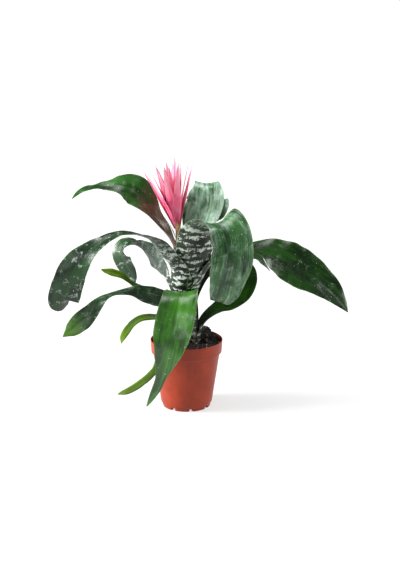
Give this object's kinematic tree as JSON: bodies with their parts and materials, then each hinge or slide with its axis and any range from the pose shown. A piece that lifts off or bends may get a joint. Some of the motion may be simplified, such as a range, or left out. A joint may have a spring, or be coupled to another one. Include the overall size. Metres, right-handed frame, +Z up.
{
  "type": "potted bromeliad",
  "caption": "Potted urn bromeliad: silver-banded strap leaves arch out of a water-holding cup round a spiky pink flower head, in a tapered nursery pot with a notched foot.",
  "frame": {"origin": "on the pot's axis, in the plane its foot tabs stand on; the pot's raised floor is 3 mm above it", "axes": "+Z up the pot's axis, -Y towards the side where the front leaf hangs over the rim, +X towards the longest right-hand leaf"},
  "size_m": [0.4923, 0.3188, 0.4268],
  "materials": {
    "pot_plastic": "matt moulded plastic, terracotta colour",
    "potting_mix": "damp crumbly peat and bark",
    "stem": "dull, fibrous",
    "leaf": "waxy leaf with silver scales",
    "offset_leaf": "waxy young leaf",
    "stalk_bract": "papery bract",
    "pink_bract": "matt papery bract"
  },
  "bodies": {
    "root": {"pot": "pot_plastic", "soil": "potting_mix", "stem": "stem", "leaf_upper_left": "leaf", "leaf_back_centre": "leaf", "leaf_big_right": "leaf", "leaf_long_left": "leaf", "leaf_far_right": "leaf", "leaf_back_outer": "leaf", "leaf_left_folded": "leaf", "leaf_right_back": "leaf", "leaf_front": "leaf", "leaf_lower_left": "leaf", "leaf_lower_right": "leaf", "leaf_back_low": "leaf", "offset_leaf_upper": "offset_leaf", "offset_leaf_middle": "offset_leaf", "offset_leaf_low": "offset_leaf", "stalk_bract_left": "stalk_bract", "stalk_bract_front": "stalk_bract", "bract_01": "pink_bract", "bract_02": "pink_bract", "bract_03": "pink_bract", "bract_04": "pink_bract", "bract_05": "pink_bract", "bract_06": "pink_bract", "bract_07": "pink_bract", "bract_08": "pink_bract", "bract_09": "pink_bract", "bract_10": "pink_bract", "bract_11": "pink_bract", "bract_12": "pink_bract", "bract_13": "pink_bract", "bract_14": "pink_bract", "bract_15": "pink_bract", "bract_16": "pink_bract", "bract_17": "pink_bract", "bract_18": "pink_bract", "bract_19": "pink_bract", "bract_20": "pink_bract", "bract_21": "pink_bract", "bract_22": "pink_bract"}
  },
  "joints": []
}
